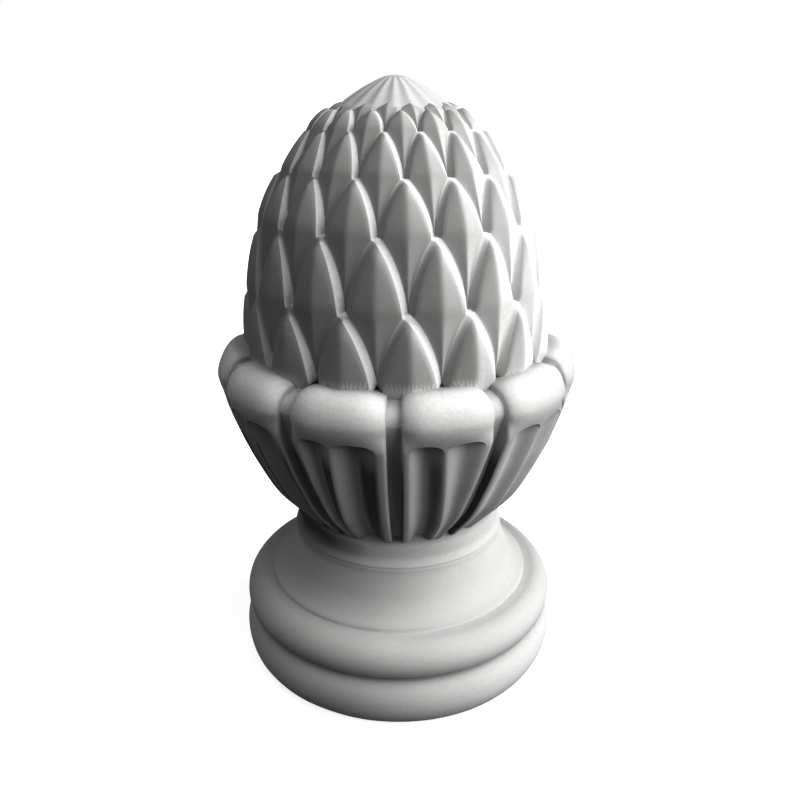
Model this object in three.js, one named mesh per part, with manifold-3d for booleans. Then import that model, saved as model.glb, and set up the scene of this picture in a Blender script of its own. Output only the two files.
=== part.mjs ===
// Cone finial: a scaled cone in a cup of turned-over leaves on a round moulded foot, one casting.
// Millimetres, +Z up. The underside is at z = 0 and the front of the finial looks along -Y.
import * as THREE from "three";
import { mergeVertices } from "three/addons/utils/BufferGeometryUtils.js";
import Module from "manifold-3d";

const wasm = await Module();
wasm.setup();

const DEGREE = Math.PI / 180;

// Foot, from the ground up
const FOOT_SEGMENTS = 48;
const BASE_RADIUS = 117;
const LOWER_ROLL_RADIUS = 128;
const LOWER_ROLL_HEIGHT = 46;
const GROOVE_RADIUS = 115.5;
const UPPER_ROLL_RADIUS = 126;
const UPPER_ROLL_HEIGHT = 25;
const SHOULDER_RADIUS = 105;
const SHOULDER_STEP = 3;
const SHOULDER_HEIGHT = 37;
const COLLAR_RING_RADIUS = 84;
const COLLAR_RING_HEIGHT = 5;
const COLLAR_RADIUS = 80.5;
const COLLAR_HEIGHT = 14.8;

// Cup of leaves
const CUP_RADIUS = 79;
const CUP_HEIGHT = 116.2;
const LIP_RADIUS = 135.3;
const LIP_THICKNESS = 20;
const LIP_DROP = 4;
const LIP_START = -35 * DEGREE;
const LIP_END_DROP = 4.2;
const GAP_DEPTH = 8.5;
const FLUTE_DEPTH = 10;
const BORDER_SHARE = 0.15;
const HIDDEN_LEAVES = 7;
const HIDDEN_LEAF_WIDTH = 27.8 * DEGREE;

// Left edge, arris and right edge of the leaves on the front, in degrees from the front towards +X,
// first at the lip and then at the foot of the leaf.
const FRONT_LEAVES = [
  [[-66, -52.5, -38.9], [-61, -48, -33.5]],
  [[-31.7, -19.6, -2.9], [-27.2, -22.6, -3.1]],
  [[1.5, 13.6, 28.9], [1.7, 18.6, 23]],
  [[37.5, 50, 63.4], [30.5, 44.5, 59]],
];

// Cone of scales
const CONE_HEIGHT = 203;
const CONE_RADIUS = 110;
const SCALE_COUNT = 16;
const SCALE_PHASE = 3.9 * DEGREE;
const SCALE_LIFT = 5;
const SIDE_LIFT = 3.6;
const KEEL_HEIGHT = 4;
const EDGE_SHARE = 0.2;

// Fluted cap over the last scales
const CAP_RIDGES = 18;
const CAP_PHASE = -2 * DEGREE;
const RIDGE_DEPTH = 1.2;

// Heights where one part meets the next
const GROOVE_Z = LOWER_ROLL_HEIGHT;
const SHOULDER_Z = GROOVE_Z + UPPER_ROLL_HEIGHT;
const RING_Z = SHOULDER_Z + SHOULDER_STEP + SHOULDER_HEIGHT;
const COLLAR_Z = RING_Z + COLLAR_RING_HEIGHT;
const CUP_Z = COLLAR_Z + COLLAR_HEIGHT;
const LIP_Z = CUP_Z + CUP_HEIGHT;

const clamp = THREE.MathUtils.clamp;
const lerp = THREE.MathUtils.lerp;
const smoothstep = THREE.MathUtils.smoothstep;

// A point at a radius and height, at an angle measured from the front towards +X.
function around(radius, z, angle) {
  return new THREE.Vector3(radius * Math.sin(angle), -radius * Math.cos(angle), z);
}

// A geometry made from a list of triangles, each given by three points.
function geometryOf(triangles) {
  const geometry = new THREE.BufferGeometry().setFromPoints(triangles.flat());
  return mergeVertices(geometry, 1e-4);
}

// Triangles between two closed rings of points that run the same way, the second above the first.
function band(lower, upper) {
  const triangles = [];
  lower.forEach((point, i) => {
    const j = (i + 1) % lower.length;
    triangles.push([point, lower[j], upper[j]], [point, upper[j], upper[i]]);
  });
  return triangles;
}

// Triangles from a closed ring to one point on the axis, facing up or down.
function fan(ring, z, facingUp) {
  const centre = new THREE.Vector3(0, 0, z);
  return ring.map((point, i) => {
    const next = ring[(i + 1) % ring.length];
    return facingUp ? [point, next, centre] : [next, point, centre];
  });
}

function closedBody(rings, bottomZ, topZ) {
  const triangles = fan(rings[0], bottomZ, false);
  for (let i = 0; i + 1 < rings.length; i += 1) triangles.push(...band(rings[i], rings[i + 1]));
  triangles.push(...fan(rings.at(-1), topZ, true));
  return geometryOf(triangles);
}

function solidOf(geometry) {
  const mesh = new wasm.Mesh({
    numProp: 3,
    vertProperties: new Float32Array(geometry.attributes.position.array),
    triVerts: new Uint32Array(geometry.index.array),
  });
  return new wasm.Manifold(mesh);
}

// Points of a round moulding that bulges out by a depth, between two angles from level in degrees.
function roll(radius, depth, z, halfHeight, from, to, steps) {
  return Array.from({ length: steps + 1 }, (_, i) => {
    const angle = lerp(from, to, i / steps) * DEGREE;
    return new THREE.Vector2(radius - depth + depth * Math.cos(angle), z + halfHeight * Math.sin(angle));
  });
}

function footGeometry() {
  const shoulderPoint = (inward, up) => new THREE.Vector2(
    lerp(SHOULDER_RADIUS, COLLAR_RING_RADIUS, inward),
    SHOULDER_Z + SHOULDER_STEP + up * SHOULDER_HEIGHT,
  );
  const shoulder = new THREE.CubicBezierCurve(
    shoulderPoint(0, 0),
    shoulderPoint(0.45, 0.2),
    shoulderPoint(0.85, 0.6),
    shoulderPoint(1, 1),
  );
  const profile = [
    new THREE.Vector2(BASE_RADIUS, 0),
    ...roll(LOWER_ROLL_RADIUS, 15, 0.485 * GROOVE_Z, 0.485 * GROOVE_Z, -50, 62, 5),
    new THREE.Vector2(GROOVE_RADIUS, GROOVE_Z),
    ...roll(UPPER_ROLL_RADIUS, 17, lerp(GROOVE_Z, SHOULDER_Z, 0.31), 0.69 * UPPER_ROLL_HEIGHT, -24, 80, 4),
    new THREE.Vector2(SHOULDER_RADIUS, SHOULDER_Z),
    ...shoulder.getPoints(3),
    new THREE.Vector2(COLLAR_RADIUS, COLLAR_Z),
    new THREE.Vector2(COLLAR_RADIUS, lerp(COLLAR_Z, CUP_Z, 0.6)),
    new THREE.Vector2(COLLAR_RADIUS - 3, CUP_Z),
    new THREE.Vector2(COLLAR_RADIUS - 10, CUP_Z + 8),
  ];
  const rings = profile.map(({ x, y }) =>
    Array.from({ length: FOOT_SEGMENTS }, (_, i) => around(x, y, (i / FOOT_SEGMENTS) * 2 * Math.PI)));
  return closedBody(rings, 0, CUP_Z + 8);
}

// Middle of the round of the lip, seen in section.
const lipCentre = new THREE.Vector2(LIP_RADIUS - LIP_THICKNESS, LIP_Z - LIP_DROP);

function lipPoint(turn) {
  return new THREE.Vector2(Math.cos(turn), Math.sin(turn)).multiplyScalar(LIP_THICKNESS).add(lipCentre);
}

// The back of a leaf from the bottom of the cup to the underside of the lip, as shares of the way out and up.
const ribProfile = new THREE.SplineCurve([
  [0, 0], [0.4, 0.24], [0.645, 0.485], [0.84, 0.735], [1, 1],
].map(([out, up]) => {
  const end = lipPoint(LIP_START);
  return new THREE.Vector2(lerp(CUP_RADIUS, end.x, out), lerp(CUP_Z, end.y, up));
}));

// The rows of the cup: each has a point of the leaf's section, the outward direction there, how far it is
// up the leaf, and how much of the flutes, of the lip and of the inner end of the lip it has.
function cupRows() {
  const ribs = [0, 0.28, 0.56, 0.82, 1].map((up) => {
    const along = ribProfile.getTangent(up);
    const out = new THREE.Vector2(along.y, -along.x);
    return { at: ribProfile.getPoint(up), out, up, flute: 1, lip: 0, inner: 0 };
  });
  const lip = [LIP_START, -10 * DEGREE, 20 * DEGREE, 48 * DEGREE, 76 * DEGREE].map((turn, i) => ({
    at: lipPoint(turn),
    out: new THREE.Vector2(Math.cos(turn), Math.sin(turn)),
    up: 1,
    flute: 0,
    lip: Math.min(0.5 * i, 1),
    inner: 0,
  }));
  const inside = new THREE.Vector2(CONE_RADIUS - 6, lipCentre.y + LIP_THICKNESS - 1.5);
  return [...ribs, ...lip, { at: inside, out: new THREE.Vector2(0, 1), up: 1, flute: 0, lip: 0.5, inner: 1 }];
}

// The columns of the cup: angles at lip and foot, the place across the leaf, and whether it is the strip
// between two leaves.
function cupColumns() {
  const leaves = FRONT_LEAVES.map((lines) => lines.map((line) => line.map((angle) => angle * DEGREE)));
  const first = leaves[0][0][0] + 2 * Math.PI;
  const last = leaves.at(-1)[0][2];
  const strip = (first - last - HIDDEN_LEAVES * HIDDEN_LEAF_WIDTH) / (HIDDEN_LEAVES + 1);
  for (let i = 0; i < HIDDEN_LEAVES; i += 1) {
    const left = last + strip + i * (HIDDEN_LEAF_WIDTH + strip);
    const line = [left, left + HIDDEN_LEAF_WIDTH / 2, left + HIDDEN_LEAF_WIDTH];
    leaves.push([line, line]);
  }
  const half = [-1, BORDER_SHARE - 1, BORDER_SHARE * 0.67 - 0.67, BORDER_SHARE * 0.33 - 0.33, 0];
  const places = [...half, ...half.slice(0, -1).map((place) => -place).reverse()];
  const angleAt = ([left, arris, right], place) =>
    (place < 0 ? lerp(arris, left, -place) : lerp(arris, right, place));
  return leaves.flatMap(([lip, foot]) => [
    { place: -1, lip: lip[0] - 0.5 * DEGREE, foot: foot[0] - 0.5 * DEGREE, strip: true },
    ...places.map((place) => ({ place, lip: angleAt(lip, place), foot: angleAt(foot, place), strip: false })),
    { place: 1, lip: lip[2] + 0.5 * DEGREE, foot: foot[2] + 0.5 * DEGREE, strip: true },
  ]);
}

// Depth of a flute, 0 on the border and on the arris and 1 in the hollow.
function fluteShape(place) {
  const inside = clamp((1 - Math.abs(place) - BORDER_SHARE) / (1 - BORDER_SHARE), 0, 1);
  return Math.pow(Math.sin(Math.PI * inside), 1.3);
}

function cupPoint(row, column) {
  const leafDepth = fluteShape(column.place) * FLUTE_DEPTH * row.flute * lerp(0.4, 1, row.up)
    + Math.pow(Math.abs(column.place), 5) * LIP_END_DROP * row.lip;
  const stripDepth = GAP_DEPTH * lerp(0.5, 1, row.up) * lerp(1, 0.55, row.inner);
  const { x, y } = row.at.clone().addScaledVector(row.out, -(column.strip ? stripDepth : leafDepth));
  return around(x, y, lerp(column.foot, column.lip, row.up));
}

function cupGeometry() {
  const columns = cupColumns();
  const rings = cupRows().map((row) => columns.map((column) => cupPoint(row, column)));
  return closedBody(rings, CUP_Z + 1, LIP_Z + 12);
}

// Ground under the scales, as shares of the cone's radius and of its height over the lip.
// One step of the curve is one row of scales. It starts inside the cup.
const coneRows = [
  [0.905, -0.12], [0.975, 0.08], [0.938, 0.325], [0.84, 0.537],
  [0.685, 0.7], [0.505, 0.829], [0.37, 0.885], [0.182, 0.912],
];
const LAST_SCALE_ROW = coneRows.length - 2;
const coneProfile = new THREE.SplineCurve(coneRows.map(([out, up]) =>
  new THREE.Vector2(CONE_RADIUS * out, LIP_Z + CONE_HEIGHT * up)));

function conePoint(row, angle, lift) {
  const t = (row + 1) / (LAST_SCALE_ROW + 1);
  const { x, y } = coneProfile.getPoint(t);
  const along = coneProfile.getTangent(t);
  const height = lift * Math.sqrt(x / CONE_RADIUS);
  return around(x + along.y * height, y - along.x * height, angle);
}

// Width of a scale at a distance below its tip, both as shares: a pointed arch that ends upright.
function arch(down) {
  return Math.pow(1 - Math.pow(1 - down, 1.5), 0.75);
}

// Drop of the rounded free edge: 1 on the edge itself, 0 inside it.
function edgeDrop(down) {
  const inside = Math.min(arch(down) / EDGE_SHARE, 1);
  return 1 - Math.sqrt(1 - (1 - inside) * (1 - inside));
}

// Face of a scale over the ground. u and v run from the tip down its right and left edges.
function faceLift(u, v) {
  const slope = SCALE_LIFT * (1 - u) * (1 - v) + SIDE_LIFT * (u * (1 - v) + v * (1 - u));
  const down = u + v;
  const halfWidth = down <= 1 ? arch(down) : 1 - arch(down - 1);
  if (halfWidth < 1e-6) return slope;
  const side = clamp(Math.abs(arch(u) - arch(v)) / halfWidth, 0, 1);
  return slope + KEEL_HEIGHT * Math.pow(halfWidth, 0.7) * Math.pow(1 - side, 1.2);
}

function scaleLift(u, v) {
  const edge = (t) => faceLift(1, t) * (1 - edgeDrop(t));
  const border = edge(u) * edgeDrop(v) + edge(v) * edgeDrop(u);
  return border + (faceLift(u, v) - border) * (1 - edgeDrop(u)) * (1 - edgeDrop(v));
}

function coneGeometry() {
  const cuts = [0, 0.08, 0.34, 0.66, 1];
  const half = Math.PI / SCALE_COUNT;
  const triangles = [];
  const top = [];
  const bottom = [];
  for (let row = 1; row <= LAST_SCALE_ROW; row += 1) {
    for (let i = 0; i < SCALE_COUNT; i += 1) {
      const middle = SCALE_PHASE + half * (2 * i + (row % 2 === 0 ? -1 : 0));
      const point = (u, v) =>
        conePoint(row - u - v, middle + half * (arch(u) - arch(v)), scaleLift(u, v));
      for (let a = 0; a + 1 < cuts.length; a += 1) {
        for (let b = 0; b + 1 < cuts.length; b += 1) {
          const tip = point(cuts[a], cuts[b]);
          const right = point(cuts[a + 1], cuts[b]);
          const left = point(cuts[a], cuts[b + 1]);
          const low = point(cuts[a + 1], cuts[b + 1]);
          triangles.push([tip, left, low], [tip, low, right]);
        }
      }
      const leftEdge = cuts.slice(1).reverse();
      if (row === LAST_SCALE_ROW) {
        top.push(...leftEdge.map((t) => point(0, t)), ...cuts.slice(0, -1).map((t) => point(t, 0)));
      }
      if (row === 1) {
        bottom.push(...cuts.slice(0, -1).map((t) => point(t, 1)), ...leftEdge.map((t) => point(1, t)));
      }
    }
  }
  const start = coneProfile.points[0];
  const end = coneProfile.points.at(-1);
  triangles.push(...fan(top, end.y - 6, true), ...fan(bottom, start.y - 7, false));
  return geometryOf(triangles);
}

// The cap from its hidden skirt to the point, as shares of the cone, with the depth of the hollows.
function capGeometry() {
  const profile = [
    [0.4, 0.862, 0], [0.375, 0.899, 1], [0.312, 0.922, 1], [0.2, 0.961, 0.8], [0.082, 0.993, 0.3],
  ];
  const perRidge = 2;
  const count = CAP_RIDGES * perRidge;
  const rings = profile.map(([out, up, deep]) => Array.from({ length: count }, (_, i) => {
    const hollow = i % perRidge === perRidge / 2 ? RIDGE_DEPTH * deep : 0;
    const angle = CAP_PHASE + (i / count) * 2 * Math.PI;
    return around(CONE_RADIUS * out, LIP_Z + CONE_HEIGHT * up - hollow, angle);
  }));
  return closedBody(rings, rings[0][0].z, LIP_Z + CONE_HEIGHT);
}

const joined = [cupGeometry(), coneGeometry(), capGeometry()]
  .map(solidOf)
  .reduce((body, next) => body.add(next), solidOf(footGeometry()));

function finialMesh() {
  const { vertProperties, triVerts } = joined.getMesh();
  const geometry = new THREE.BufferGeometry();
  geometry.setAttribute("position", new THREE.BufferAttribute(new Float32Array(vertProperties), 3));
  geometry.setIndex(new THREE.BufferAttribute(new Uint32Array(triVerts), 1));
  const material = new THREE.MeshStandardMaterial({ color: 0xc9c8c4, roughness: 0.85, metalness: 0 });
  const mesh = new THREE.Mesh(geometry, material);
  mesh.name = "finial";
  return mesh;
}

const object = new THREE.Group();
object.name = "cone_finial";
object.add(finialMesh());
export default object;
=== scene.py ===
# %% [markdown]
# # A cone finial in cast stone
# The finial is one casting: a moulded foot, a cup of turned-over leaves, a cone of pointed scales and a
# small fluted cap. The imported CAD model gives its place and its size, so it is loaded first, and everything
# that follows is built in the same frame, in metres, with the underside of the foot at zero.

# %% Load the frame
import math

import bmesh
import bpy
import numpy as np
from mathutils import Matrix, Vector, noise
from mathutils.bvhtree import BVHTree


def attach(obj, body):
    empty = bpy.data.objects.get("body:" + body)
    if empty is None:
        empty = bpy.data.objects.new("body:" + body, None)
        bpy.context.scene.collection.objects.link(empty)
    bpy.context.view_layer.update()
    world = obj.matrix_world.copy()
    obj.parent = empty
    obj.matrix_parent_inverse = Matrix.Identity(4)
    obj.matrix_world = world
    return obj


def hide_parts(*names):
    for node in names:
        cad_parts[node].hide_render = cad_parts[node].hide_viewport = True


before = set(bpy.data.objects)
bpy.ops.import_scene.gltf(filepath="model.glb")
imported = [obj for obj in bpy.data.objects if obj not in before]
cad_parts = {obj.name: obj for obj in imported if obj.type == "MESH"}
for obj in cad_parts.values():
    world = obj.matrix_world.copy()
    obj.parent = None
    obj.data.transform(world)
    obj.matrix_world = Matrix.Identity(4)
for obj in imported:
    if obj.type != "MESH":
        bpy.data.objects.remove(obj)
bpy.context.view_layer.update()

scene = bpy.context.scene

# %% [markdown]
# ## The camera
# The rings of the foot, the collar and the lip show as ellipses, and how flat each one is gives the height
# and the distance of the lens. A camera could be aimed by hand, but a few measured numbers put it exactly
# where the rings agree: a little more than half a metre away, at the height of the top of the cone.

# %% Camera
MM = 0.001
SENSOR = 36
PICTURE = 800
FOCAL_PIXELS = 811
CAMERA_BACK = 594.5 * MM
CAMERA_HEIGHT = 444.3 * MM
CAMERA_DOWN = math.radians(21.29)
CENTRE_COLUMN = 398.3

camera_data = bpy.data.cameras.new("camera")
camera_data.sensor_width = SENSOR
camera_data.lens = FOCAL_PIXELS / PICTURE * SENSOR
camera_data.shift_x = (PICTURE / 2 - CENTRE_COLUMN) / PICTURE
camera_data.clip_start = 0.02
camera_data.clip_end = 60
camera = bpy.data.objects.new("camera", camera_data)
camera.location = (0, -CAMERA_BACK, CAMERA_HEIGHT)
camera.rotation_euler = (math.pi / 2 - CAMERA_DOWN, 0, 0)
scene.collection.objects.link(camera)
scene.camera = camera
print("lens", round(camera_data.lens, 2), "mm")

# %% [markdown]
# ## The light
# The left side of the casting is in deep shade, the right side and every surface that faces up are bright,
# and no shadow has a hard border. One window on the right would give that, or here a sun lamp of large angle,
# not very high. A weak one from the upper left reaches the left of the foot, but little of the cup under its
# lip. A gamma below 1 in the view gives the strong contrast of the photograph.

# %% Light
KEY_TURN = math.radians(75)
KEY_RISE = math.radians(27)
KEY_SOFTNESS = math.radians(74)
KEY_POWER = 4.65
FILL_TURN = math.radians(-45)
FILL_RISE = math.radians(56)
FILL_SOFTNESS = math.radians(90)
FILL_POWER = 1.4
SKY_POWER = 0.02
VIEW_GAMMA = 0.57


def direction(turn, rise):
    """Unit vector at an angle from the front towards +X, and at a rise over level."""
    return Vector((math.cos(rise) * math.sin(turn), -math.cos(rise) * math.cos(turn), math.sin(rise)))


def lamp(name, turn, rise, softness, power):
    data = bpy.data.lights.new(name, "SUN")
    data.energy = power
    data.angle = softness
    made = bpy.data.objects.new(name, data)
    made.rotation_euler = direction(turn, rise).to_track_quat("Z", "Y").to_euler()
    scene.collection.objects.link(made)


lamp("key", KEY_TURN, KEY_RISE, KEY_SOFTNESS, KEY_POWER)
lamp("fill", FILL_TURN, FILL_RISE, FILL_SOFTNESS, FILL_POWER)

world = bpy.data.worlds.new("studio")
scene.world = world
world.use_nodes = True
world_nodes = world.node_tree.nodes
world_links = world.node_tree.links
world_nodes.clear()
sky = world_nodes.new("ShaderNodeBackground")
sky.inputs["Color"].default_value = (1, 1, 1, 1)
sky.inputs["Strength"].default_value = SKY_POWER
backdrop = world_nodes.new("ShaderNodeBackground")
backdrop.inputs["Color"].default_value = (1, 1, 1, 1)
backdrop.inputs["Strength"].default_value = 1
seen = world_nodes.new("ShaderNodeLightPath")
either = world_nodes.new("ShaderNodeMixShader")
world_out = world_nodes.new("ShaderNodeOutputWorld")
world_links.new(seen.outputs["Is Camera Ray"], either.inputs[0])
world_links.new(sky.outputs[0], either.inputs[1])
world_links.new(backdrop.outputs[0], either.inputs[2])
world_links.new(either.outputs[0], world_out.inputs["Surface"])
scene.view_settings.view_transform = "Standard"
scene.view_settings.look = "None"
scene.view_settings.gamma = VIEW_GAMMA
print("key from", tuple(round(value, 2) for value in direction(KEY_TURN, KEY_RISE)))

# %% [markdown]
# ## Shader maths in plain expressions
# A material is a graph of nodes, which is slow to read. The class below wraps one output of a node, so that
# `mask * 0.5 + 1` adds the Math nodes by itself, and `1 - mask` works as well. Every other kind of node
# comes from one method that takes its type, its settings and what goes into it.


# %% Shader helpers
class Wire:
    """One output of a shader node, with arithmetic that adds Math nodes."""

    def __init__(self, tree, socket):
        self.tree = tree
        self.socket = socket

    def _math(self, operation, first, second=None):
        node = self.tree.nodes.new("ShaderNodeMath")
        node.operation = operation
        for socket, value in zip(node.inputs, (first, second)):
            if isinstance(value, Wire):
                self.tree.links.new(value.socket, socket)
            elif value is not None:
                socket.default_value = value
        return Wire(self.tree, node.outputs[0])

    def __add__(self, other):
        return self._math("ADD", self, other)

    def __mul__(self, other):
        return self._math("MULTIPLY", self, other)

    def __sub__(self, other):
        return self._math("SUBTRACT", self, other)

    def __rsub__(self, other):
        return self._math("SUBTRACT", other, self)

    def clamped(self):
        return self._math("MINIMUM", self._math("MAXIMUM", self, 0.0), 1.0)


class Finish:
    """A new node material and the nodes that feed it."""

    def __init__(self, name):
        self.material = bpy.data.materials.new(name)
        self.material.use_nodes = True
        self.tree = self.material.node_tree
        self.tree.nodes.clear()

    def node(self, kind, settings=None, output=0, **inputs):
        made = self.tree.nodes.new(kind)
        for name, value in (settings or {}).items():
            setattr(made, name, value)
        for name, value in inputs.items():
            socket = self._input(made, name)
            if isinstance(value, Wire):
                self.tree.links.new(value.socket, socket)
            else:
                socket.default_value = value
        return Wire(self.tree, made.outputs[output]) if made.outputs else None

    def _input(self, made, name):
        wanted = name.replace("_", " ").lower()
        usable = [socket for socket in made.inputs if socket.enabled]
        return next(socket for socket in usable if socket.name.lower() == wanted)

    def mix(self, factor, first, second):
        return self.node("ShaderNodeMix", {"data_type": "RGBA"}, output=2, Factor=factor, A=first, B=second)


def grey(level, warmth=0.0):
    """An opaque grey, warmer or cooler by a small share."""
    return (level * (1 + warmth), level, level * (1 - warmth), 1)


print("shader helpers ready")

# %% [markdown]
# ## The floor
# The finial stands on a plain pale floor. In a studio this would be a light table: a white sheet that is lit
# from below as well, so that it stays nearly white and the shadow on it is faint. Here it is a wide disc with
# a little light of its own, in front of a backdrop of the same tone.

# %% Floor
FLOOR_RADIUS = 25
FLOOR_SIDES = 96
FLOOR_DROP = 0.4 * MM
FLOOR_GLOW = 0.8

floor_mesh = bpy.data.meshes.new("floor")
shape = bmesh.new()
bmesh.ops.create_circle(shape, cap_ends=True, segments=FLOOR_SIDES, radius=FLOOR_RADIUS)
shape.to_mesh(floor_mesh)
shape.free()
floor = bpy.data.objects.new("floor", floor_mesh)
floor.location = (0, 0, -FLOOR_DROP)
floor.visible_diffuse = False
scene.collection.objects.link(floor)
paper = Finish("floor_paper")
paper_shader = paper.node("ShaderNodeBsdfPrincipled", Base_Color=grey(0.5), Roughness=0.9,
                          Emission_Color=grey(1), Emission_Strength=FLOOR_GLOW)
paper.node("ShaderNodeOutputMaterial", Surface=paper_shader)
paper.material.cycles.emission_sampling = "NONE"
floor_mesh.materials.append(paper.material)
print("floor across", 2 * FLOOR_RADIUS, "m")

# %% [markdown]
# ## How the casting is drawn
# Nearly all of the finial repeats round one axis. So each part is worked out as a stack of rings of points,
# in millimetres, and the rings are skinned with faces. An angle is measured from the front, towards the
# right. Each part is a closed skin of its own, and all of them are joined into one solid at the end.

# %% Rings and skins


def around(radius, z, angle):
    """Points at a radius, a height and an angle from the front."""
    radius, z, angle = np.broadcast_arrays(radius, z, angle)
    return np.stack([radius * np.sin(angle), -radius * np.cos(angle), z], axis=-1)


def smooth(value, low, high):
    """0 below low, 1 above high and an S curve between."""
    share = np.clip((value - low) / (high - low), 0, 1)
    return share * share * (3 - 2 * share)


def blend(first, second, share):
    return first + (second - first) * share


def curve(points, places):
    """Points on a smooth curve through the given ones, for places from 0 to 1."""
    points = np.asarray(points, float)
    place = np.clip(np.asarray(places, float), 0, 1) * (len(points) - 1)
    step = np.minimum(place.astype(int), len(points) - 2)
    t = (place - step)[..., None]
    before, here = points[np.maximum(step - 1, 0)], points[step]
    there, after = points[step + 1], points[np.minimum(step + 2, len(points) - 1)]
    leave, arrive = (there - before) / 2, (after - here) / 2
    return ((2 * t**3 - 3 * t**2 + 1) * here + (t**3 - 2 * t**2 + t) * leave
            + (3 * t**2 - 2 * t**3) * there + (t**3 - t**2) * arrive)


def mesh_object(name, points, faces):
    mesh = bpy.data.meshes.new(name)
    mesh.from_pydata((np.asarray(points) * MM).tolist(), [], faces)
    made = bpy.data.objects.new(name, mesh)
    scene.collection.objects.link(made)
    return made


def skin(name, rings, bottom, top):
    """A closed skin over an array of rings, with a fan to the axis at each end."""
    rows, columns = rings.shape[:2]
    points = np.vstack([rings.reshape(-1, 3), [[0, 0, bottom], [0, 0, top]]])
    low, high = rows * columns, rows * columns + 1
    faces = []
    for column in range(columns):
        beside = (column + 1) % columns
        faces.append((low, beside, column))
        for row in range(rows - 1):
            faces.append((row * columns + column, row * columns + beside,
                          (row + 1) * columns + beside, (row + 1) * columns + column))
        faces.append(((rows - 1) * columns + column, (rows - 1) * columns + beside, high))
    return mesh_object(name, points, faces)


print("ring helpers ready")

# %% [markdown]
# ## The foot
# The foot is turned work: two rolls with a groove between them, a step, a bell-shaped shoulder and a narrow
# collar. A lathe needs only the profile. The rolls are arcs, the shoulder is one smooth curve, and the
# corners keep a small round, as they come out of a mould.

# %% Foot
BASE_RADIUS = 117
LOWER_ROLL_RADIUS = 128
LOWER_ROLL_DEPTH = 15.5
LOWER_ROLL_Z = 22.3
GROOVE_RADIUS = 114
GROOVE_Z = 46.2
UPPER_ROLL_RADIUS = 126
UPPER_ROLL_DEPTH = 17
UPPER_ROLL_Z = 53.8
UPPER_ROLL_HALF = 17.4
SHOULDER_RADIUS = 105
SHOULDER_Z = 71
SHOULDER_STEP = 3
RING_RADIUS = 84
RING_Z = 110.5
COLLAR_RADIUS = 80.8
COLLAR_Z = 121.5
CUP_Z = 130.8
FOOT_COLUMNS = 160


def roll(radius, depth, z, half_height, start, end, steps):
    """Points of a round moulding between two angles from level, in degrees."""
    angle = np.radians(np.linspace(start, end, steps))
    return np.stack([radius - depth + depth * np.cos(angle), z + half_height * np.sin(angle)], axis=-1)


shoulder = curve([
    (SHOULDER_RADIUS - 1, SHOULDER_Z + SHOULDER_STEP),
    (98, 78.5),
    (91.5, 86.5),
    (86.8, 97),
    (84.6, 106),
    (RING_RADIUS + 0.2, RING_Z),
], np.linspace(0, 1, 18))
collar = curve([
    (RING_RADIUS - 0.3, RING_Z + 0.8), (RING_RADIUS - 0.2, RING_Z + 2), (RING_RADIUS - 1, RING_Z + 3.6),
    (COLLAR_RADIUS + 1.2, COLLAR_Z - 5.6), (COLLAR_RADIUS + 0.3, COLLAR_Z - 3.2), (COLLAR_RADIUS, COLLAR_Z),
    (COLLAR_RADIUS - 0.3, COLLAR_Z + 3.2), (COLLAR_RADIUS - 1.3, COLLAR_Z + 6.2),
    (COLLAR_RADIUS - 3.6, COLLAR_Z + 8.4),
], np.linspace(0, 1, 25))
foot_profile = np.vstack([
    [(BASE_RADIUS - 1, 0), (BASE_RADIUS, 0.4)],
    roll(LOWER_ROLL_RADIUS, LOWER_ROLL_DEPTH, LOWER_ROLL_Z, LOWER_ROLL_Z, -58, 58, 20),
    [(GROOVE_RADIUS + 4.2, GROOVE_Z - 3.4), (GROOVE_RADIUS + 1.8, GROOVE_Z - 1.6),
     (GROOVE_RADIUS + 0.4, GROOVE_Z - 0.5), (GROOVE_RADIUS + 0.3, GROOVE_Z + 0.2),
     (GROOVE_RADIUS + 1.6, GROOVE_Z + 0.7)],
    roll(UPPER_ROLL_RADIUS, UPPER_ROLL_DEPTH, UPPER_ROLL_Z, UPPER_ROLL_HALF, -26, 80, 16),
    [(SHOULDER_RADIUS + 0.6, SHOULDER_Z), (SHOULDER_RADIUS, SHOULDER_Z + 0.4),
     (SHOULDER_RADIUS - 0.2, SHOULDER_Z + SHOULDER_STEP - 0.8)],
    shoulder,
    collar,
    [(COLLAR_RADIUS - 8, CUP_Z + 8)],
])
foot_turn = np.arange(FOOT_COLUMNS) / FOOT_COLUMNS * 2 * np.pi
foot = skin("foot", around(foot_profile[:, :1], foot_profile[:, 1:], foot_turn), 0, CUP_Z + 8)
print("foot", len(foot_profile), "rings of", FOOT_COLUMNS)

# %% [markdown]
# ## The cup of leaves
# Eleven broad leaves stand round the cup. Each has two flutes that meet in an arris, a rounded border on both
# sides, and a thick lip that turns over at the top and hoods the flutes. A narrow strip is left between
# neighbours. The model for the mould was cut by hand, so the leaves differ: the table gives the left edge,
# the arris and the right edge of each of the four that show, at the lip and at the foot of the leaf.

# %% Leaf lines
CUP_HEIGHT = 116.2
LIP_Z = CUP_Z + CUP_HEIGHT
FLUTE_TOP = LIP_Z - 15.5
HIDDEN_LEAVES = 7
HIDDEN_WIDTH = 27.8

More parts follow.
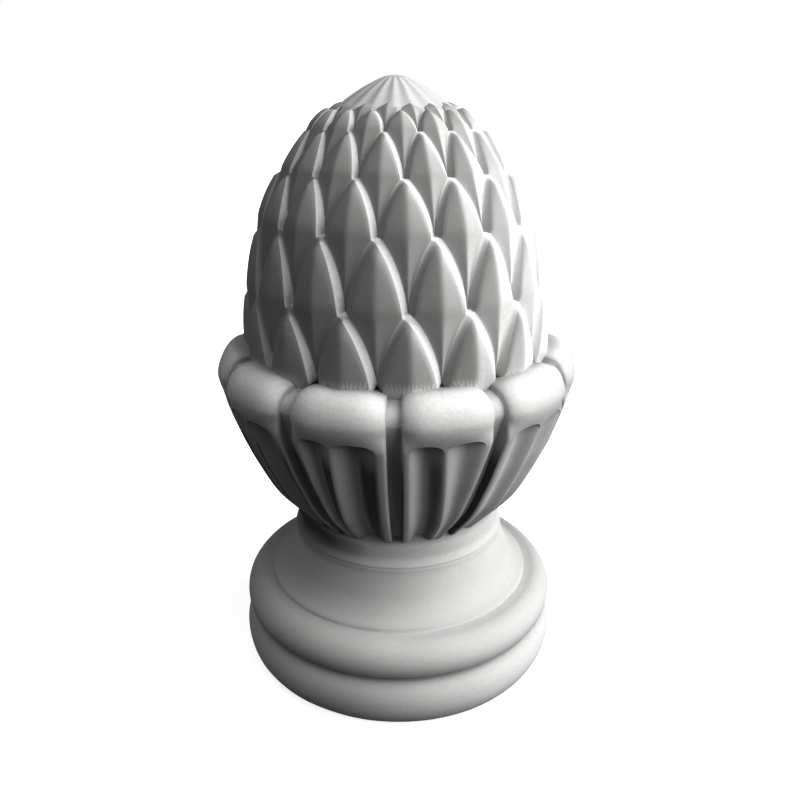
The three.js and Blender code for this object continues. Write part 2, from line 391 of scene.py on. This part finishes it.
seen_leaves = [
    ((-66.5, -52.5, -37.0), (-61.0, -48.0, -33.0)),
    ((-32.0, -19.6, -2.9), (-27.2, -22.6, -3.1)),
    ((1.5, 13.6, 29.3), (1.7, 18.4, 23.4)),
    ((34.2, 49.0, 66.0), (30.0, 44.5, 60.0)),
]
seen_left, seen_right = seen_leaves[0][0][0], seen_leaves[-1][0][2]
hidden_strip = (360 + seen_left - seen_right - HIDDEN_LEAVES * HIDDEN_WIDTH) / (HIDDEN_LEAVES + 1)
leaf_lines = list(seen_leaves)
for number in range(HIDDEN_LEAVES):
    left = seen_right + hidden_strip + number * (HIDDEN_WIDTH + hidden_strip)
    even = (left, left + HIDDEN_WIDTH / 2, left + HIDDEN_WIDTH)
    leaf_lines.append((even, even))
leaf_lines = np.radians(leaf_lines)
print("strip between hidden leaves", round(hidden_strip, 1), "degrees")

# %% [markdown]
# ## The section of a leaf
# The back of a leaf and its lip are one line, which could be drawn with arcs, but the lip is rolled by hand
# and fits a smooth curve through a few points better. Every depth on the leaf is measured square to it.

# %% Leaf section
SECTION_STEPS = 400

section_points = curve([
    (79.0, 131.2), (89.5, 142.5), (100.1, 155.2), (107.3, 167.4), (113.1, 179.6), (118.8, 192.4),
    (123.4, 205.2), (127.0, 215.5), (130.0, 225.0), (132.4, 232.0), (134.3, 237.5), (135.3, 243.0),
    (134.6, 248.0), (132.7, 252.8), (129.6, 257.0), (125.6, 260.2), (120.8, 262.3), (115.0, 263.1),
    (104.0, 261.5),
], np.linspace(0, 1, SECTION_STEPS))
section_length = np.concatenate([[0], np.cumsum(np.linalg.norm(np.diff(section_points, axis=0), axis=1))])


def section_point(length):
    return np.stack([np.interp(length, section_length, section_points[:, axis]) for axis in (0, 1)], axis=-1)


def section(length):
    """Points of the leaf's section at a length along it, and its outward direction."""
    along = section_point(length + 1) - section_point(length - 1)
    along /= np.linalg.norm(along, axis=-1, keepdims=True)
    return section_point(length), np.stack([along[..., 1], -along[..., 0]], axis=-1)


print("section of a leaf", round(float(section_length[-1])), "mm long")

# %% [markdown]
# ## Leaves in columns
# A leaf is drawn in columns from foot to lip. Most follow its borders, where the form turns fast, and fewer
# run in the flutes. Each column has an angle at the lip and one at the foot, because the edges of the seen
# leaves lean.

# %% Leaf columns
BORDER_SHARE = 0.15
STRIP_PLACES = (0.08, 0.36, 0.64, 0.92)


def leaf_columns():
    """Places across a leaf: from 0 at its left edge over 1 at the arris to 2 at its right edge."""
    border = np.array([0.012, 0.025, 0.045, 0.068, 0.092, 0.12])
    flute = BORDER_SHARE + (1 - BORDER_SHARE) * np.linspace(0, 1, 15)
    half = np.concatenate([[0, 0.004], border, flute])
    return np.concatenate([half, 2 - half[-2::-1]])


def cup_columns():
    """For each column: place across the leaf, -1 to 1, angles at lip and base, in a strip or not, leaf."""
    across, top, base, in_strip, number = [], [], [], [], []
    for leaf in range(len(leaf_lines)):
        lip_lines, base_lines = leaf_lines[leaf]
        next_lip, next_base = leaf_lines[(leaf + 1) % len(leaf_lines)]
        wrap = 2 * np.pi if leaf == len(leaf_lines) - 1 else 0
        places = leaf_columns()
        for place in np.concatenate([places, 2 + np.array(STRIP_PLACES)]):
            if place <= 2:
                top.append(np.interp(place, (0, 1, 2), lip_lines))
                base.append(np.interp(place, (0, 1, 2), base_lines))
                in_strip.append(place in (0, 2))
            else:
                top.append(np.interp(place, (2, 3), (lip_lines[2], next_lip[0] + wrap)))
                base.append(np.interp(place, (2, 3), (base_lines[2], next_base[0] + wrap)))
                in_strip.append(True)
            across.append(min(place, 2) - 1)
            number.append(leaf)
    return np.array(across), np.array(top), np.array(base), np.array(in_strip), np.array(number)


print("columns in a leaf", len(leaf_columns()))

# %% [markdown]
# ## Flutes, borders and lips
# Flutes, borders, strips and the round ends of the lip are all depths below the section. The flutes stop
# short of the lip, and the surface then comes straight out again, so the lip has a real underside. A worn
# dent in the second leaf, shallower flutes on the right and a strip that is nearly closed are copied from the
# photograph. The lips behind stand a little higher, as the rim behind the cone does.

# %% Cup
GAP_DEPTH = 8.5
GAP_FOOT_SHARE = 0.5
GAP_TOP_SHARE = 0.65
FLUTE_DEPTH = 11.5
FLUTE_BASE = 0.45
FULL_WIDTH = math.radians(15.5)
FLUTE_CORNER = 7
BEAD_SHARE = 0.55 * BORDER_SHARE
BEAD_DROP = 1.8
BEAD_LIP_LOSS = 0.4
PILLOW_DROP = 5
PILLOW_INNER_LOSS = 0.4
LIP_BLEND = 6
INNER_LENGTH = 16
UNDERSIDE_STAYS = [0.72, 0.4, 0.0]
DENTED_LEAF = 1
DENT_DEPTH = 1.5
DENT_WIDTH = 0.35
DENT_LENGTHS = (8, 26)
HALF_SHALLOW_LEAF = 2
SHALLOW_LEAF = 3
SHALLOW_SHARE = 0.5
SHUT_GAP = 0.4
BACK_SWELL = 2.5
BACK_SWELL_LENGTHS = (16, 34)


def ring_lengths(flute_end):
    """Lengths along the section, one row for each ring, and how much of the flute stays on that ring."""
    whole = section_length[-1]
    below = np.concatenate([np.linspace(0, 0.8, 22)[:-1], np.linspace(0.8, 1, 12)])
    above = np.concatenate([np.linspace(0, 0.2, 6)[1:], np.linspace(0.2, 1, 26)[1:]])
    lengths = [share * flute_end for share in below] + [flute_end] * len(UNDERSIDE_STAYS)
    lengths += [flute_end + share * (whole - flute_end) for share in above]
    stays = [1.0] * len(below) + UNDERSIDE_STAYS + [0.0] * len(above)
    return np.array(lengths), np.array(stays)[:, None]


def cup_rings():
    across, top, base, in_strip, number = cup_columns()
    lines = leaf_lines[number]
    top_width, base_width = (np.where(across < 0, lines[:, level, 1] - lines[:, level, 0],
                                      lines[:, level, 2] - lines[:, level, 1]) for level in (0, 1))
    from_edge = 1 - np.abs(across)
    flute = np.clip((from_edge - BORDER_SHARE) / (1 - BORDER_SHARE), 0, 1)
    corner = FLUTE_CORNER * (1 - np.sqrt(1 - np.abs(2 * flute - 1) ** 2.4))
    rising = section_points[:, 0].argmax()
    flute_end = np.interp(FLUTE_TOP - corner, section_points[:rising, 1], section_length[:rising])
    lengths, stays = ring_lengths(flute_end)
    point, outward = section(lengths)
    height = np.clip((point[..., 1] - CUP_Z) / (FLUTE_TOP - CUP_Z), 0, 1)
    lip = smooth(point[..., 1], FLUTE_TOP - LIP_BLEND, FLUTE_TOP + LIP_BLEND)
    left_over = section_length[-1] - lengths
    inner = 1 - smooth(left_over, 0, INNER_LENGTH)

    narrow = np.minimum(blend(base_width, top_width, height) / FULL_WIDTH, 1) ** 1.3
    half_shallow = (number == HALF_SHALLOW_LEAF) & (across > 0)
    shallow = np.where((number == SHALLOW_LEAF) | half_shallow, SHALLOW_SHARE, 1)
    flute_depth = FLUTE_DEPTH * shallow * blend(FLUTE_BASE, 1, height ** 0.8) * narrow
    hollow = np.sin(np.pi * flute) ** 1.6 * flute_depth * stays
    bead = BEAD_DROP * (1 - np.sqrt(1 - np.clip(1 - from_edge / BEAD_SHARE, 0, 1) ** 2))
    end_fall = across ** 4 * PILLOW_DROP * lip * (1 - PILLOW_INNER_LOSS * inner)
    dent = DENT_DEPTH * np.exp(-(across / DENT_WIDTH) ** 2) * (number == DENTED_LEAF)
    dent = dent * (1 - smooth(left_over, *DENT_LENGTHS))
    gap = blend(GAP_DEPTH * blend(GAP_FOOT_SHARE, 1, height), GAP_TOP_SHARE * GAP_DEPTH, inner)
    gap = gap * np.where(number == SHALLOW_LEAF, SHUT_GAP, 1)
    leaf_depth = bead * (1 - BEAD_LIP_LOSS * lip) + end_fall + dent + hollow
    depth = np.where(in_strip, np.maximum(gap, bead + end_fall), leaf_depth)
    swell = BACK_SWELL * (number >= len(seen_leaves)) * (1 - smooth(left_over, *BACK_SWELL_LENGTHS))
    point = point - outward * (depth - swell)[..., None]
    return around(point[..., 0], point[..., 1], blend(base, top, height))


rings = cup_rings()
cup = skin("cup", rings, CUP_Z + 1, LIP_Z + 12)
print("cup", rings.shape)

# %% [markdown]
# ## The cone of scales
# Six rows of sixteen pointed scales lie over each other like tiles, each row half a step round from the last.
# Only a diamond of each scale shows: from its tip down to the tip of the scale two rows below. First comes
# the ground that the scales lie on, as one radius and height for each row of tips.

# %% Cone ground
CONE_RADIUS = 110
CONE_HEIGHT = 203
SCALE_COUNT = 16
SCALE_TURN = math.radians(4.65)
LAST_ROW = 6
SMALL_STEP = 1e-4

cone_rows = np.array([
    (0.905, -0.12), (0.965, 0.08), (0.922, 0.312), (0.824, 0.537),
    (0.672, 0.7), (0.498, 0.829), (0.37, 0.883), (0.182, 0.903),
]) * (CONE_RADIUS, CONE_HEIGHT) + (0, LIP_Z)


def cone_point(row, angle, lift):
    """A point over the ground of the cone, at a row of scales and an angle."""
    place = (row + 1) / (LAST_ROW + 1)
    ground = curve(cone_rows, place)
    lift = lift * (ground[..., 0] / CONE_RADIUS) ** 0.5
    along = curve(cone_rows, place + SMALL_STEP) - curve(cone_rows, place - SMALL_STEP)
    along /= np.linalg.norm(along, axis=-1, keepdims=True)
    return around(ground[..., 0] + along[..., 1] * lift, ground[..., 1] - along[..., 0] * lift, angle)


print("cone tips from", cone_rows[1].round(), "to", cone_rows[-1].round())

# %% [markdown]
# ## One scale
# The free edges of a scale are two halves of a pointed arch. Along them runs a bevel, which catches the light
# as the thick edge of a cut scale does, and a keel divides the face into two cheeks. Both could be modelled
# by hand on one scale and copied, but a formula for the height over the ground bends with the cone by itself.

# %% Scale shape
SCALE_LIFT = 6.3
SIDE_LIFT = 5
KEEL_HEIGHT = 4.4
KEEL_HOLLOW = 1.2
KEEL_ROUND = 0.08
ARCH_BEND = 1.5
ARCH_POWER = 0.7
EDGE_SHARE = 0.185
SCALE_SLOPE = 0.48
BEVEL_END = 1.1
BEVEL_ROUND = 0.06
TIP_LIMIT = 0.004


def arch(down):
    """Half width of a scale at a distance below its tip, as shares: a pointed arch that ends upright."""
    return (1 - np.clip(1 - down, 0, 1) ** ARCH_BEND) ** ARCH_POWER


def arch_place(width):
    """The distance below the tip at which the arch has that width."""
    return 1 - (1 - width ** (1 / ARCH_POWER)) ** (1 / ARCH_BEND)


def softened(value, radius):
    """A share from 0 to 1 whose corner at 0 is rounded."""
    return (np.hypot(value, radius) - radius) / (np.hypot(1, radius) - radius)


def edge_drop(down, beside):
    """Drop of the bevel on the free edge: 1 on it, 0 inside. Its width is measured square to the edge."""
    above = 1 - np.clip(beside, TIP_LIMIT, 1)
    bend = ARCH_BEND * ARCH_POWER * above ** (ARCH_BEND - 1)
    slant = SCALE_SLOPE * bend / (1 - above ** ARCH_BEND) ** (1 - ARCH_POWER)
    inside = arch(down) / np.sqrt(1 + slant ** 2) / EDGE_SHARE
    return softened(np.clip(1 - inside / BEVEL_END, 0, 1), BEVEL_ROUND)


def face_lift(u, v):
    """Height of a scale's face over the ground. u and v run from the tip down its right and left edges."""
    slope = SCALE_LIFT * (1 - u) * (1 - v) + SIDE_LIFT * (u * (1 - v) + v * (1 - u))
    down = u + v
    half_width = np.where(down <= 1, arch(np.minimum(down, 1)), 1 - arch(np.maximum(down - 1, 0)))
    side = np.clip(np.abs(arch(u) - arch(v)) / np.maximum(half_width, 1e-6), 0, 1)
    keel = KEEL_HEIGHT * half_width ** 0.7 * (1 - softened(side, KEEL_ROUND)) ** KEEL_HOLLOW
    return slope + keel


def under_edge(t):
    """Height of the covered border of a neighbour, where a free edge comes down on it."""
    return face_lift(np.ones_like(t), t) * (1 - edge_drop(t, np.ones_like(t)))


def scale_lift(u, v):
    """Height of a whole patch, bevels included, so that it meets its neighbours on all four sides."""
    left, right = edge_drop(u, v), edge_drop(v, u)
    border = under_edge(u) * right + under_edge(v) * left
    return border + (face_lift(u, v) - border) * (1 - left) * (1 - right)


middle_lift = float(scale_lift(np.array(0.5), np.array(0.5)))
print("a scale stands", round(middle_lift, 1), "mm over the ground at its middle")

# %% [markdown]
# ## The skin of the cone
# One patch is drawn for each scale. Neighbouring patches share their edges, so when their points are merged
# the whole cone is one closed skin. The faces on the bevels are marked, because a highlight is painted on
# them.

# %% Cone
BEVEL_CUTS = 5
CHEEK_CUTS = 15
RIGHT_RIM = 3
LEFT_RIM = 1
MERGE_WITHIN = 0.002 * MM


def scale_cuts():
    """Places across a patch: close together on the bevel, even over the cheek."""
    bevel = EDGE_SHARE * np.array([0, 0.25, 0.5, 0.75, 0.94, 1.04, BEVEL_END])
    cheek = np.linspace(arch_place(EDGE_SHARE * BEVEL_END), 1, CHEEK_CUTS)[1:]
    return np.concatenate([arch_place(bevel), cheek])


def rim_marks(count):
    """For each cell of a patch, whether it lies on its right bevel, its left one or neither."""
    return [RIGHT_RIM if b < BEVEL_CUTS else LEFT_RIM if a < BEVEL_CUTS else 0
            for a in range(count - 1) for b in range(count - 1)]


def cone_skin():
    cuts = scale_cuts()
    count = len(cuts)
    last = count - 1
    u, v = np.meshgrid(cuts, cuts, indexing="ij")
    half = np.pi / SCALE_COUNT
    lift = scale_lift(u, v)
    cell = [(a * count + b, a * count + b + 1, (a + 1) * count + b + 1, (a + 1) * count + b)
            for a in range(last) for b in range(last)]
    points, faces, top, bottom = [], [], [], []
    for row in range(1, LAST_ROW + 1):
        for number in range(SCALE_COUNT):
            middle = SCALE_TURN + half * (2 * number - (row % 2 == 0))
            patch = cone_point(row - u - v, middle + half * (arch(u) - arch(v)), lift)
            first = len(points) * count * count
            points.append(patch.reshape(-1, 3))
            for tip, left, low, right in cell:
                faces.append((first + tip, first + left, first + low))
                faces.append((first + tip, first + low, first + right))
            if row == LAST_ROW:
                top += [first + b for b in range(last, 0, -1)]
                top += [first + a * count for a in range(last)]
            if row == 1:
                bottom += [first + a * count + last for a in range(last)]
                bottom += [first + last * count + b for b in range(last, 0, -1)]
    points = np.vstack(points)
    points = np.vstack([points, [[0, 0, cone_rows[-1, 1] - 6], [0, 0, cone_rows[0, 1] - 7]]])
    high, low = len(points) - 2, len(points) - 1
    faces += [(here, there, high) for here, there in zip(top, top[1:] + top[:1])]
    faces += [(there, here, low) for here, there in zip(bottom, bottom[1:] + bottom[:1])]
    made = mesh_object("cone", points, faces)
    marks = np.tile(np.repeat(rim_marks(count), 2), LAST_ROW * SCALE_COUNT)
    rim = np.zeros(len(faces), int)
    rim[:len(marks)] = marks
    made.data.attributes.new("rim", "INT", "FACE").data.foreach_set("value", rim)
    shape = bmesh.new()
    shape.from_mesh(made.data)
    bmesh.ops.remove_doubles(shape, verts=shape.verts, dist=MERGE_WITHIN)
    shape.to_mesh(made.data)
    shape.free()
    return made


cone = cone_skin()
print("cone", len(cone.data.polygons), "faces")

# %% [markdown]
# ## The cap
# The topmost scales run under a small cap with eighteen soft ridges that fade out at the point. It could be
# turned and then cut, but a ring of cosines gives even ridges at once. Each point of its line is a radius and
# a height, as shares of the cone, and how deep the hollows between the ridges are there.

# %% Cap
CAP_RIDGES = 18
CAP_TURN = math.radians(-2)
CAP_RINGS = 26
RIDGE_COLUMNS = 8
RIDGE_DEPTH = 1.1

cap_line = np.array([
    (0.40, 0.862, 0), (0.395, 0.879, 0.6), (0.375, 0.899, 1), (0.312, 0.922, 1), (0.2, 0.961, 0.8),
    (0.082, 0.993, 0.3), (0.03, 0.999, 0),
])
cap_rows = curve(cap_line, np.linspace(0, 1, CAP_RINGS))
cap_columns = CAP_RIDGES * RIDGE_COLUMNS
cap_angle = CAP_TURN + np.arange(cap_columns) / cap_columns * 2 * np.pi
cap_hollow = (0.5 - 0.5 * np.cos(CAP_RIDGES * (cap_angle - CAP_TURN))) ** 0.8
cap_radius = CONE_RADIUS * cap_rows[:, :1]
cap_z = LIP_Z + CONE_HEIGHT * cap_rows[:, 1:2] - cap_hollow * RIDGE_DEPTH * cap_rows[:, 2:]
cap_base = LIP_Z + CONE_HEIGHT * cap_line[0, 1]
cap = skin("cap", around(cap_radius, cap_z, cap_angle), cap_base, LIP_Z + CONE_HEIGHT)
print("cap", len(cap.data.polygons), "faces")

# %% [markdown]
# ## One casting
# The four skins overlap where one part grows out of the next. They could be left so, but a boolean union
# removes what is hidden inside, and the result is a single closed surface, as the casting is. Every face
# keeps the number of its part, which finds the seams later.

# %% Union
finial = foot
finial.name = finial.data.name = "finial_casting"
for number, part in enumerate((foot, cup, cone, cap)):
    field = part.data.attributes.new("part", "INT", "FACE")
    field.data.foreach_set("value", [number] * len(part.data.polygons))
for part in (cup, cone, cap):
    joint = finial.modifiers.new("join", "BOOLEAN")
    joint.operation = "UNION"
    joint.solver = "MANIFOLD"
    joint.object = part
bpy.context.view_layer.update()
joined = bpy.data.meshes.new_from_object(finial.evaluated_get(bpy.context.evaluated_depsgraph_get()))
finial.modifiers.clear()
finial.data = joined
joined.name = "finial_casting"
for part in (cup, cone, cap):
    bpy.data.objects.remove(part)
print("casting", len(joined.polygons), "faces", len(joined.vertices), "points")

# %% [markdown]
# ## The surface of the casting
# A mould leaves no perfect surface: faces swell and sink by a few tenths of a millimetre. Each point is moved
# a little along its normal by smooth noise. The cup and the cone also stand a little to the left of the foot
# in the photograph, so they are shifted. Edges where two parts meet stay sharp, others only past an angle.

# %% Surface
WAVE_SIZE = 0.035
WAVE_DEPTH = 0.35 * MM
GROUND_LEVEL = 1 * MM
CUP_SHIFT = -1.3 * MM
CUP_SHIFT_LEVELS = (100 * MM, 240 * MM)
CONE_SHIFT = -1.1 * MM
CONE_SHIFT_LEVELS = (260 * MM, 320 * MM)
SHARP_ANGLE = math.radians(50)

count = len(joined.vertices)
co = np.empty(count * 3)
joined.vertices.foreach_get("co", co)
co = co.reshape(-1, 3)
normals = np.empty(count * 3)
joined.vertices.foreach_get("normal", normals)
normals = normals.reshape(-1, 3)
wave = np.array([noise.noise(Vector(point) / WAVE_SIZE) for point in co])
on_ground = co[:, 2] < GROUND_LEVEL
co += normals * (wave * WAVE_DEPTH * ~on_ground)[:, None]
co[:, 0] += (CUP_SHIFT * smooth(co[:, 2], *CUP_SHIFT_LEVELS)
             + CONE_SHIFT * smooth(co[:, 2], *CONE_SHIFT_LEVELS))
joined.vertices.foreach_set("co", co.ravel())
joined.polygons.foreach_set("use_smooth", [True] * len(joined.polygons))
joined.set_sharp_from_angle(angle=SHARP_ANGLE)

shape = bmesh.new()
shape.from_mesh(joined)
part_layer = shape.faces.layers.int["part"]
on_seam = np.zeros(count, bool)
for edge in shape.edges:
    if len({face[part_layer] for face in edge.link_faces}) > 1:
        edge.smooth = False
        on_seam[[end.index for end in edge.verts]] = True
shape.to_mesh(joined)
shape.free()
joined.update()
print("points on seams", int(on_seam.sum()), "of", count)

# %% [markdown]
# ## How open the surface is
# Shade falls in the hollows, and here it is painted into the colour. So each point gets a number: the share
# of directions in which nothing of the casting stands within a few centimetres. It is found by casting a
# fixed fan of rays.

# %% Openness
RAYS = 14
REACH = 28 * MM
RAY_START = 0.4 * MM

tree = BVHTree.FromPolygons([Vector(point) for point in co],
                            [tuple(face.vertices) for face in joined.polygons])
joined.vertices.foreach_get("normal", normals.ravel())
rise = (np.arange(RAYS) + 0.5) / RAYS
turn = np.arange(RAYS) * math.pi * (3 - math.sqrt(5))
fan = np.stack([np.sqrt(1 - rise) * np.cos(turn), np.sqrt(1 - rise) * np.sin(turn), np.sqrt(rise)], axis=-1)
aside = np.cross(normals, np.where(np.abs(normals[:, 2:]) < 0.9, [[0, 0, 1]], [[1, 0, 0]]))
aside /= np.maximum(np.linalg.norm(aside, axis=1, keepdims=True), 1e-9)
across_both = np.cross(normals, aside)
openness = np.ones(count)
for index in range(count):
    start = co[index] + normals[index] * RAY_START
    rays = fan[:, :1] * aside[index] + fan[:, 1:2] * across_both[index] + fan[:, 2:] * normals[index]
    hits = sum(tree.ray_cast(start, ray, REACH)[0] is not None for ray in rays)
    openness[index] = 1 - hits / RAYS
print("openness from", round(float(openness.min()), 2), "mean", round(float(openness.mean()), 2))

# %% [markdown]
# ## Even numbers for the finish
# Few rays give rough numbers, and points right on a seam see only the part beside them. So the numbers are
# averaged with those of the neighbours a few times, with hardly any weight for the seams. A second number
# marks the crests of the lips, which are paler in the photograph.

# %% Marks on the surface
SMOOTHING = 10
SEAM_WEIGHT = 0.001
LIP_LEVELS = (231 * MM, 239 * MM)
LIP_TOP_LEVELS = (262 * MM, 266 * MM)
LIP_RADII = (106 * MM, 112 * MM)
LIP_OPENNESS = (0.5, 0.8)

edges = np.empty(len(joined.edges) * 2, int)
joined.edges.foreach_get("vertices", edges)
ends = np.concatenate([edges[0::2], edges[1::2]])
others = np.concatenate([edges[1::2], edges[0::2]])
weight = np.where(on_seam, SEAM_WEIGHT, 1.0)
for _ in range(SMOOTHING):
    shared = np.bincount(ends, weight[others], minlength=count) + weight
    openness = (np.bincount(ends, (openness * weight)[others], minlength=count) + openness * weight) / shared
lip_share = smooth(co[:, 2], *LIP_LEVELS) * smooth(np.hypot(co[:, 0], co[:, 1]), *LIP_RADII)
lip_share *= (1 - smooth(co[:, 2], *LIP_TOP_LEVELS)) * smooth(openness, *LIP_OPENNESS)
for name, values in (("lip", lip_share), ("open", openness)):
    field = joined.attributes.new(name, "FLOAT", "POINT")
    field.data.foreach_set("value", values.astype(np.float32))
print("points on the lips", int((lip_share > 0.5).sum()))

# %% [markdown]
# ## Painted light and shade
# In the photograph the right side, the lips and the bevels of the scales are pale, the cone is duller, and
# the cup
# is nearly black under its lip on the left. Much of this is light and shade, and it is painted into the
# colour:
# scale faces and bevels that look to the right, towards the key lamp, are painted lighter, lips that look
# that way darker, and the hollows and the cup under its lip on the left get painted shade. A few masks do it
# for all
# sides: the marks from above, the height, and how far a face looks to the right.

# %% Masks, with painted light and shade
CONE_PART = 2.0
FOOT_BAND_LEVEL = 45 * MM
UNDER_CUP_LEVEL = 105 * MM
UNDER_LIP_LEVEL = 222 * MM

stone = Finish("cast_stone")
place = stone.node("ShaderNodeTexCoord", output=3)
facing = stone.node("ShaderNodeSeparateXYZ", Vector=stone.node("ShaderNodeTexCoord", output=1))
level = stone.node("ShaderNodeSeparateXYZ", output=2, Vector=place)
clouds = stone.node("ShaderNodeTexNoise", Vector=place, Scale=14.0, Detail=5.0, Roughness=0.6)
cloud_share = (clouds * 2.2 - 0.6).clamped()
opened = stone.node("ShaderNodeAttribute", {"attribute_name": "open"}, output=2)
part = stone.node("ShaderNodeAttribute", {"attribute_name": "part"}, output=2)
on_rim = stone.node("ShaderNodeAttribute", {"attribute_name": "rim"}, output=2)
on_lip = stone.node("ShaderNodeAttribute", {"attribute_name": "lip"}, output=2)

on_cone = (1 - (part - CONE_PART) * (part - CONE_PART)).clamped()
# How far a face looks to the right, towards the key lamp: it chooses painted light and shade below.
facing_key_lamp = facing.clamped() * facing.clamped()
# Painted shade in the hollows: darker where the surface is less open, with a little cloudy noise, less on the
# cone.
painted_hollow_shade = (1 - opened + (clouds - 0.5) * 0.3).clamped() * (1 - on_cone * 0.5)
# Painted highlight on the bevels of the scales, strongest on the right bevels that look towards the key lamp.
painted_rim_highlight = (on_rim * (1 / RIGHT_RIM) * (facing * 2.5 + 1.25)).clamped() * (1 - facing_key_lamp * 0.6)
# Painted shade: the cup under its lip, on faces that look to the left, away from the key lamp.
under_lip = ((level - UNDER_CUP_LEVEL) * 50.0).clamped() * ((UNDER_LIP_LEVEL - level) * 60.0).clamped()
painted_cup_shade = under_lip * ((facing + 0.25) * -2.5).clamped()
# Height bands of the foot: paler at the bottom, darker from there up to under the cup.
foot_low_band = ((FOOT_BAND_LEVEL - level) * 40.0).clamped()
foot_middle_band = ((level - FOOT_BAND_LEVEL) * 40.0).clamped() * ((UNDER_CUP_LEVEL - level) * 80.0).clamped()
print("masks have", len(stone.tree.nodes), "nodes")

# %% [markdown]
# ## The finish
# Cast stone is cement and fine sand: matt, pale grey and slightly cloudy where the mix set unevenly, with
# fine grain and pores. Each tone is mixed from two greys, some of them by the clouds, and the masks choose
# between the tones, so that some light and shade are painted in too. Grain and pores are too fine for the
# mesh, so they go into a weak bump.

# %% Cast stone
grain = stone.node("ShaderNodeTexNoise", Vector=place, Scale=420.0, Detail=4.0, Roughness=0.65)
pores = stone.node("ShaderNodeTexNoise", Vector=place, Scale=900.0, Detail=2.0, Roughness=0.5)

foot_and_cup = stone.mix(cloud_share, grey(0.62, 0.006), grey(0.70, 0.004))
# The foot is paler at the bottom and darker above, up to under the cup.
foot_and_cup = stone.mix(foot_low_band * 0.25, foot_and_cup, grey(0.88, 0.005))
foot_and_cup = stone.mix(foot_middle_band * 0.3, foot_and_cup, grey(0.50, 0.008))
# Painted light: scale faces that look to the right, towards the key lamp, are paler, those that look left
# darker.
scales = stone.mix((facing_key_lamp * 1.6).clamped(), grey(0.41, 0.008), grey(0.86, 0.005))
scales = stone.mix(cloud_share * 0.4, scales, grey(0.53, 0.007))
# Painted highlight on the bevels.
scales = stone.mix(painted_rim_highlight, scales, grey(0.82, 0.004))
lips = stone.mix(cloud_share, grey(0.76, 0.006), grey(0.83, 0.004))
# Painted: the side of the lips that faces the key lamp is darker.
lips = stone.mix(facing_key_lamp, lips, grey(0.60, 0.005))

tone = stone.mix(on_lip, stone.mix(on_cone, foot_and_cup, scales), lips)
tone = stone.mix((grain * 2.4 - 0.9).clamped() * 0.3, tone, grey(0.52, 0.01))
# Painted shade: nearly black under the lip on the left.
tone = stone.mix(painted_cup_shade * 0.9, tone, grey(0.06, 0.012))
# Painted shade in the hollows.
tone = stone.mix(painted_hollow_shade * 0.75, tone, grey(0.24, 0.015))
bump = stone.node("ShaderNodeBump", Strength=0.25, Distance=0.6 * MM, Height=grain * 0.6 + pores * 0.4)
shader = stone.node("ShaderNodeBsdfPrincipled", Base_Color=tone, Roughness=grain * 0.12 + 0.78, Normal=bump)
stone.node("ShaderNodeOutputMaterial", Surface=shader)
joined.materials.clear()
joined.materials.append(stone.material)
print("stone has", len(stone.tree.nodes), "nodes")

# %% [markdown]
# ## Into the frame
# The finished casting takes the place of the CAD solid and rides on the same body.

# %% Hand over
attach(finial, "root")
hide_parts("finial")
